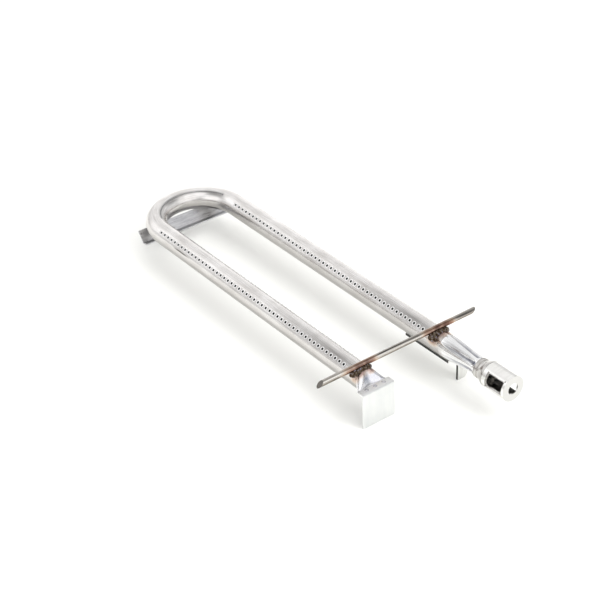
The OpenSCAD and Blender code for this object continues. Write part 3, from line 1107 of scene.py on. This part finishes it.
@dataclass
class RodWeld:
    """The rippled bead that ties the cross rod to a leg, with the drops that it spat.

    The shares say how much ripples, a slow wobble and knobs swell the bead. Where it sags, it
    grows taller and sinks by the last two shares of the sag.
    """

    place: WeldPlace
    node: str
    seed: int
    depth: float = 2.4
    half_height: float = 2.7
    lean: float = 0.3
    ripples: int = 7
    ripple_share: float = 0.13
    wobble_share: float = 0.08
    wobble_turn: float = 500.0
    wobble_start: float = 40.0
    knob_share: float = 0.14
    knob_rate: float = 14.0
    knob_round: float = 1.3
    blunt: float = 0.03
    droop_swell: float = 0.05
    sag_growth: float = 0.35
    sag_sink: float = 0.5
    sunk_in_leg: float = 0.3
    sunk_in_rod: float = 0.25
    around: int = 28
    rings: int = 110
    drops: int = 9
    drop_clock: tuple[float, float] = (-75.0, 60.0)
    drop_away: tuple[float, float] = (5.0, 13.0)
    drop_radius: tuple[float, float] = (0.3, 0.6)
    drop_lift: float = 0.25
    drop_margin: float = 1.5

    def outside(self, point: Point) -> Point:
        """Moves a point that lies deep in the leg or the rod out to just below its surface.

        Args:
            point: A point of the bead.

        Returns:
            The point, moved or as it was.
        """
        tube, rod = self.place.tube, self.place.rod
        leg_core, rod_core = tube.radius - self.sunk_in_leg, rod.radius - self.sunk_in_rod
        x, y, z = point
        leg_x = tube.leg_x(self.place.side)
        away = Vector((x - leg_x, 0, z - tube.axis_z))
        if away.length < leg_core:
            away *= leg_core / away.length
            x, z = leg_x + away.x, tube.axis_z + away.z
        off = Vector((0, y - rod.y, z - rod.z))
        if off.length < rod_core:
            off *= rod_core / off.length
            y, z = rod.y + off.y, rod.z + off.z
        return (x, y, z)

    def section(self, t: float) -> Ring:
        """Gives one section of the bead.

        Args:
            t: Share of the way along it.

        Returns:
            The section's points.
        """
        place = self.place
        x, y, z = place.centre
        u = place.shift + place.length * (t - 0.5)
        radius = place.tube.radius
        fall = radius - math.sqrt(radius ** 2 - min(abs(u), radius - 1) ** 2)
        sag = min(fall, place.droop)
        depth = self.depth * (1 + self.droop_swell * place.droop)
        ripple = self.ripple_share * math.cos(2 * math.pi * self.ripples * t)
        wobble = self.wobble_share * math.sin(
            math.radians(self.wobble_turn * t + self.wobble_start))
        swell = (1 + ripple + wobble) * math.sqrt(max(self.blunt, 1 - (2 * t - 1) ** 4))
        half_z = self.half_height + self.sag_growth * sag
        ring = []
        for i in range(self.around):
            a = 2 * math.pi * i / self.around
            knob = 1 + self.knob_share * noise.noise(Vector((
                t * self.knob_rate, math.cos(a) * self.knob_round,
                math.sin(a) * self.knob_round + self.seed)))
            dy = swell * depth * math.cos(a) * knob
            dz = -swell * half_z * math.sin(a) * knob
            ring.append(self.outside((place.tube.leg_x(place.side) + u,
                                      y + dy + self.lean * dz, z - self.sag_sink * sag + dz)))
        return ring

    def add_drop(self, skin: Skin, dice: random.Random) -> None:
        """Adds one frozen drop of spatter, half sunk in the leg.

        Args:
            skin: The bead's mesh.
            dice: Draws the drop's place and size.
        """
        tube = self.place.tube
        clock = math.radians(dice.uniform(*self.drop_clock))
        y = self.place.centre[1] + dice.choice((-1, 1)) * dice.uniform(*self.drop_away)
        if self.place.side is Side.BLIND:
            y = max(y, tube.press_y + self.drop_margin)
        size = dice.uniform(*self.drop_radius)
        lift = tube.radius + self.drop_lift * size
        leg_x = tube.leg_x(self.place.side)
        spot = in_metres((leg_x + lift * math.sin(clock), y, tube.axis_z + lift * math.cos(clock)))
        bmesh.ops.create_icosphere(skin.mesh, subdivisions=2, radius=size * MM,
                                   matrix=Matrix.Translation(spot))

    def build(self) -> bpy.types.Object:
        """Builds the bead and its spatter.

        Returns:
            The piece.
        """
        skin = Skin(self.node + "_bead")
        start, end = skin.loft([self.section(k / self.rings) for k in range(self.rings + 1)])
        skin.cap(start)
        skin.cap(end)
        dice = random.Random(self.seed)
        for _ in range(self.drops):
            self.add_drop(skin, dice)
        return skin.finish(Body.BURNER, Slot.WELD, self.node, crisp=70.0)


@dataclass
class BurnerTube:
    """The bent tube with its pressed end and throat."""

    tube: Tube
    welds: tuple[WeldPlace, ...]

    def leg_marks(self) -> tuple[Layer, ...]:
        """Gives the painted shade on the underside, the welds' tint, a painted dark reflection
        along the front of each leg, and a dark rub mark.

        Returns:
            The layers, lowest first.
        """
        blind_x, gas_x = self.tube.leg_x(Side.BLIND), self.tube.leg_x(Side.GAS)
        # Painted dark reflection along the front half of each leg, high on its blind side.
        dark_reflections = [Stain(middle=(x - 6.0, -128.0, 52.0), half=(6.5, reach, 6.5), colour="#494745",
                      strength=0.6, fade=(0.55, 1.7))
                for x, reach in ((blind_x, 120.0), (gas_x, 110.0))]
        rub = Stain(middle=(blind_x - 11.8, 152.0, 45.6), half=(1.2, 19.0, 1.2),
                    colour="#5C5853", strength=0.9, fade=(0.9, 1.5))
        # Painted shade from a little above the sides of the tube down to its underside.
        underside = FaceCast((0, 0, -1), "#A5A29F", 0.8, start=-0.42, full=0.1)
        return (underside, HeatTint.around(self.welds, 11.0), *dark_reflections, rub)

    def scoop_shade(self) -> tuple[Layer, ...]:
        """Gives the blue-grey painted shade over the scoop and along its right fold.

        Returns:
            The layers, lowest first.
        """
        tube, x = self.tube, self.tube.leg_x(Side.BLIND)
        scoop = Stain(middle=(x - 3.0, tube.press_y - 6.0, tube.axis_z + 5.0),
                      half=(6.0, 8.0, 6.0), colour="#8692AA", strength=0.8, fade=(0.6, 1.5))
        fold = Stain(middle=(x + 13.0, tube.press_y - 10.0, tube.axis_z + 1.0),
                     half=(2.0, 8.0, 3.0), colour="#9A9CA8", strength=0.6, fade=(0.6, 1.5))
        return (scoop, fold)

    def build(self) -> None:
        """Builds the formed ends and dresses the whole tube."""
        tube, marks = self.tube, self.leg_marks()
        rows = {
            "left_leg": PortRow(tube, first=169.593, last=505.593),
            "return_bend": PortRow(tube, first=15.8, last=143.8, pitch=3.369, clock=-26.0,
                                   both_sides=False, shade_reach=0.45, ring=0.85, highlight_strength=0.9),
            "right_leg": PortRow(tube, first=-350.0, last=-14.0),
        }
        for node, ports in rows.items():
            skin = DrawnTube("polished_tube_of_" + node, light="#F8F6F5", dark="#D6D2CF",
                             roughness=(0.16, 0.3), layers=marks, tube=tube, ports=ports)
            dress(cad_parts[node], skin.build())
        # The press and the crimping jaws burnish the same tube, so it looks whiter and sharper.
        throat = Throat(tube)
        for piece, name, dark, own_marks in (
                (PressedEnd(tube), "pressed_stainless_tube", "#DDDDE6", self.scoop_shade()),
                (throat, "crimped_stainless_tube", "#EBEBEC", throat.marks())):
            finish = DrawnTube(name, light="#FFFFFF", dark=dark, roughness=(0.10, 0.22),
                               layers=(*own_marks, HeatTint.around(self.welds, 8.0)),
                               tube=tube, bore_colour=None)
            dress(piece.build(), finish.build())


@dataclass
class CrossRod:
    """The rod over both legs, with its two weld beads."""

    welds: tuple[WeldPlace, ...]

    def mark(self, x: float, clock: float, half: Point, colour: str, strength: float) -> Stain:
        """Gives a mark on the rod's skin.

        Args:
            x: Its place along the rod.
            clock: Its place round the rod, in degrees from the top toward the front.
            half: Its half lengths along X, Y and Z.
            colour: Its colour.
            strength: How much it covers.

        Returns:
            The mark.
        """
        rod, angle = self.welds[0].rod, math.radians(clock)
        spot = (x, rod.y - rod.radius * math.sin(angle), rod.z + rod.radius * math.cos(angle))
        return Stain(spot, half, colour, strength, (0.7, 1.6))

    def marks(self) -> tuple[Layer, ...]:
        """Gives the painted shade on the underside, the marks along the rod (painted dark
        reflections, painted highlights and hazes), the heat tint and a sheared end.

        Returns:
            The layers, lowest first.
        """
        # Place along the rod, place round it, half length, half width, colour and strength.
        rows = (
            (-20.0, 20.0, 60.0, 1.0, "#231C17", 0.95),  # painted dark reflection
            (55.0, 38.0, 60.0, 1.0, "#231C17", 0.92),   # painted dark reflection
            (90.0, 54.0, 26.0, 1.2, "#2B2420", 0.85),   # painted dark reflection at the right end
            (-60.0, 48.0, 80.0, 1.0, "#FFFCF6", 0.95),  # painted highlight
            (20.0, 68.0, 70.0, 0.9, "#FFFAF2", 0.85),   # painted highlight
            (84.0, 112.0, 26.0, 2.8, "#7D746C", 0.8),   # haze at the right end
            (66.0, 95.0, 12.0, 3.0, "#6E5A50", 0.6),    # brown haze beside the right bead
        )
        return (
            # Painted shade on the faces that look down and forward.
            FaceCast((0.0, -0.82, -0.57), "#7F776C", 0.92, start=0.45, full=0.85),
            *(self.mark(x, clock, (along, across, across), colour, strength)
              for x, clock, along, across, colour, strength in rows),
            HeatTint.around(self.welds, 15.0),
            FaceCast((-0.67, 0, 0.74), "#3A3633", 0.8),
        )

    def build(self) -> None:
        """Dresses the rod and builds its beads."""
        # Mild steel rod, drawn and left oily: warm grey with long streaks, under painted dark
        # reflections and painted highlights along it.
        rod = BandedSteel("drawn_steel_rod", light="#E6E2DB", dark="#B4AEA7",
                          roughness=(0.14, 0.26), band=(30.0, 0.7, 0.7), edge_radius=0.3,
                          layers=self.marks())
        dress(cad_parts["cross_rod"], rod.build())
        bead = WeldMetal("oxidised_weld_bead", roughness=(0.18, 0.5), mark_depth=0.12).build()
        for weld, node, seed in zip(self.welds, ("left_rod_weld", "right_rod_weld"), (3, 8)):
            dress(RodWeld(weld, node, seed).build(), bead)
        # The fillets under the right foot and the bracket froze from the same wire.
        for node in ("right_foot_welds", "rear_bracket_welds"):
            dress(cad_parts[node], bead)


@dataclass
class Supports:
    """The front foot with its spot welds, the right foot and the rear bracket."""

    def build(self) -> None:
        """Dresses the supports."""
        dress_solids({
            # Cold rolled stainless with its bright mill finish: even, pale, faint upright bands.
            ("front_foot",): BandedSteel(
                "rolled_stainless_sheet", light="#EEEFEE", dark="#E1E3E3", roughness=(0.34, 0.42),
                mark_depth=0.004, band=(6.0, 6.0, 60.0), edge_radius=0.35,
                # Painted light: the faces that look up are painted a lighter grey.
                layers=(FaceCast((0, 0, 1), "#F2F2F2", 0.9),)),
            # Dimples pressed by the welding tips: slightly greyer than the sheet round them.
            ("foot_spot_welds",): Metal("spot_weld_dimple", light="#E6E6EA", dark="#BEBDC2"),
            # Thick plate cut on a shear: a satin face, and its faces that look toward -X painted
            # nearly black.
            ("right_foot",): BandedSteel(
                "sheared_steel_plate", light="#EFEFED", dark="#CFCFCC", roughness=(0.3, 0.45),
                edge_radius=0.2, layers=(FaceCast((-1, 0, 0), "#141312", 0.95),)),
            # Strip folded on a brake and scuffed in handling: dull, with streaks along it.
            ("rear_bracket",): BandedSteel(
                "scuffed_steel_strip", light="#E4E4E6", dark="#B2B2B5", roughness=(0.24, 0.45),
                mark_depth=0.01, band=(14.0, 3.0, 3.0), edge_radius=0.3),
        })


@dataclass
class AirMixer:
    """The mixer body, the air shutter that turns on it, and the lock screw."""

    def build(self) -> None:
        """Dresses the four pieces of the mixer."""
        dress_solids({
            # Stainless turned on a lathe: bright, with rings round its axis.
            ("mixer_body",): BandedSteel(
                "turned_mixer_steel", light="#F8F7F5", dark="#ABA7A3", roughness=(0.12, 0.26),
                band=(30.0, 0.9, 30.0)),
            # Stainless cap, drawn and polished: nearly white and glossy, with painted shade on the
            # face that looks forward.
            ("air_shutter",): BandedSteel(
                "polished_shutter_steel", light="#FFFEFC", dark="#EDEBE7", roughness=(0.08, 0.18),
                mark_depth=0.002, band=(24.0, 0.8, 24.0), edge_radius=0.3,
                layers=(FaceCast((0, -1, 0), "#D3D2D0", 0.9),)),
            # Zinc plated steel: an even, slightly warm grey.
            ("lock_screw", "lock_washer"): Metal("zinc_plated_screw", light="#D8D8D2",
                                                 dark="#A8A8A4"),
        })


# ---------- studio ----------

@dataclass(frozen=True)
class StudioCamera:
    """The camera that looks down on the burner from its front left."""

    place_m: Point = (-0.84962, -1.16610, 0.98984)
    azimuth: float = 35.891
    elevation: float = 33.554
    roll: float = -2.409
    lens: float = 95.4

    def build(self) -> None:
        """Makes the camera and makes it the scene's own."""
        az, el, roll = (math.radians(a) for a in (self.azimuth, self.elevation, self.roll))
        ahead = Vector((math.sin(az) * math.cos(el), math.cos(az) * math.cos(el), -math.sin(el)))
        level = Vector((math.cos(az), -math.sin(az), 0))
        rise = level.cross(ahead)
        right = math.cos(roll) * level + math.sin(roll) * rise
        up = math.cos(roll) * rise - math.sin(roll) * level
        data = bpy.data.cameras.new("studio_camera")
        data.lens = self.lens
        data.sensor_width = 36.0
        data.clip_end = 50.0
        made = bpy.data.objects.new("studio_camera", data)
        made.matrix_world = (Matrix.Translation(Vector(self.place_m))
                             @ Matrix((right, up, -ahead)).transposed().to_4x4())
        bpy.context.scene.collection.objects.link(made)
        bpy.context.scene.camera = made


@dataclass(frozen=True)
class SoftBox:
    """A large soft lamp that points at the middle of the burner."""

    name: str
    place_m: Point
    size_m: tuple[float, float]
    power: float
    colour: str = "#FFFFFF"

    def build(self) -> None:
        """Makes the lamp."""
        data = bpy.data.lights.new(self.name, "AREA")
        data.shape = "RECTANGLE"
        data.size, data.size_y = self.size_m
        data.energy = self.power
        data.color = linear(self.colour)[:3]
        made = bpy.data.objects.new(self.name, data)
        made.location = self.place_m
        made.rotation_euler = (-Vector(self.place_m)).to_track_quat("-Z", "Y").to_euler()
        made.visible_glossy = False  # the polished tube shows the walls alone
        bpy.context.scene.collection.objects.link(made)


@dataclass(frozen=True)
class SkyPatch:
    """A soft-edged part of the studio's walls with a brightness of its own.

    Its azimuth goes from the bend's side toward the gas leg's side, in degrees, and its elevation
    is above the floor. It is even up to its inner radius and has faded at its outer one.
    """

    azimuth: float
    elevation: float
    inner: float
    outer: float
    brightness: float

    @property
    def toward(self) -> Vector:
        """The direction of its middle."""
        az, el = math.radians(self.azimuth), math.radians(self.elevation)
        return Vector((math.sin(az) * math.cos(el), math.cos(az) * math.cos(el), math.sin(el)))


@dataclass(frozen=True)
class Studio:
    """The pale floor and the soft light round it."""

    floor_reach_m: float = 8.0
    floor_colour: str = "#F6F6F3"
    wall_low: float = 0.70
    wall_high: float = 0.82
    patches: tuple[SkyPatch, ...] = (
        SkyPatch(-145.0, 8.0, 8.0, 24.0, 0.56),   # gap between the front and the left panels
        SkyPatch(-58.0, 64.0, 12.0, 30.0, 0.42),  # open ceiling on the left
        SkyPatch(104.0, 45.0, 8.0, 26.0, 0.38),   # open ceiling on the right
        SkyPatch(18.0, 40.0, 20.0, 38.0, 0.94),   # pale wall behind
        SkyPatch(180.0, 65.0, 18.0, 36.0, 1.15),  # front panel, its top
        SkyPatch(176.0, 28.0, 20.0, 36.0, 1.20),  # front panel
        SkyPatch(-101.0, 22.0, 14.0, 34.0, 1.25),  # left panel
        SkyPatch(-27.0, 29.0, 10.0, 28.0, 1.25),  # panel behind, on the left
        SkyPatch(34.0, 6.0, 8.0, 22.0, 1.25),     # panel behind, on the right
    )

    def build_floor(self) -> None:
        """Lays the floor of painted board: matt and faintly warm, so that it shows no gloss."""
        skin = bmesh.new()
        bmesh.ops.create_grid(skin, x_segments=2, y_segments=2, size=self.floor_reach_m)
        data = bpy.data.meshes.new("studio_floor")
        skin.to_mesh(data)
        skin.free()
        made = bpy.data.objects.new("studio_floor", data)
        bpy.context.scene.collection.objects.link(made)
        material = bpy.data.materials.new("matt_white_board")
        material.use_nodes = True
        tree = material.node_tree
        tree.nodes.clear()
        shader = add_node(tree, "BsdfPrincipled", {
            "Base Color": linear(self.floor_colour), "Roughness": 0.9,
            "Specular IOR Level": 0.1})
        add_node(tree, "OutputMaterial", links={"Surface": shader.outputs["BSDF"]})
        data.materials.append(material)

    def build_walls(self) -> None:
        """Surrounds the scene with the studio's pale walls and their patches."""
        world = bpy.data.worlds.new("studio_walls")
        world.use_nodes = True
        tree = world.node_tree
        tree.nodes.clear()
        way = add_node(tree, "TexCoord").outputs["Generated"]
        height = add_node(tree, "SeparateXYZ", links={"Vector": way}).outputs["Z"]
        glow = add_node(tree, "MapRange", {"From Min": 0.0, "From Max": 1.0,
                                           "To Min": self.wall_low, "To Max": self.wall_high},
                        {"Value": height}).outputs["Result"]
        for patch in self.patches:
            near = add_node(tree, "VectorMath", {"operation": "DOT_PRODUCT", 1: patch.toward},
                            {0: way})
            share = add_node(tree, "MapRange",
                             {"interpolation_type": "SMOOTHSTEP",
                              "From Min": math.cos(math.radians(patch.outer)),
                              "From Max": math.cos(math.radians(patch.inner))},
                             {"Value": near.outputs["Value"]})
            glow = add_node(tree, "Mix", {"data_type": "FLOAT", 3: patch.brightness},
                            {0: share.outputs["Result"], 2: glow}).outputs[0]
        sky = add_node(tree, "Background", links={"Color": glow})
        add_node(tree, "OutputWorld", links={"Surface": sky.outputs["Background"]})
        bpy.context.scene.world = world

    def build(self) -> None:
        """Builds the floor, the walls, the lamp and the camera."""
        self.build_floor()
        self.build_walls()
        SoftBox("overhead_softbox", (0.0, 0.0, 1.6), (3.0, 3.0), power=17.0).build()
        SoftBox("front_softbox", (0.46, -1.21, 1.25), (0.9, 0.9), power=9.0).build()
        StudioCamera().build()
        bpy.context.scene.view_settings.view_transform = "Standard"


def main() -> None:
    """Builds and dresses the burner, piece by piece, then the studio."""
    logging.basicConfig(level=logging.INFO, format="%(name)s: %(message)s")
    tube, rod = Tube.from_frame(), Rod.from_frame()
    LOG.info("%s, %s", tube, rod)
    welds = (WeldPlace(tube, rod, Side.BLIND, shift=-4.8, droop=2.0),
             WeldPlace(tube, rod, Side.GAS, shift=-3.0, droop=5.0))
    BurnerTube(tube, welds).build()
    CrossRod(welds).build()
    Supports().build()
    AirMixer().build()
    Studio().build()


if __name__ == "__main__":
    main()
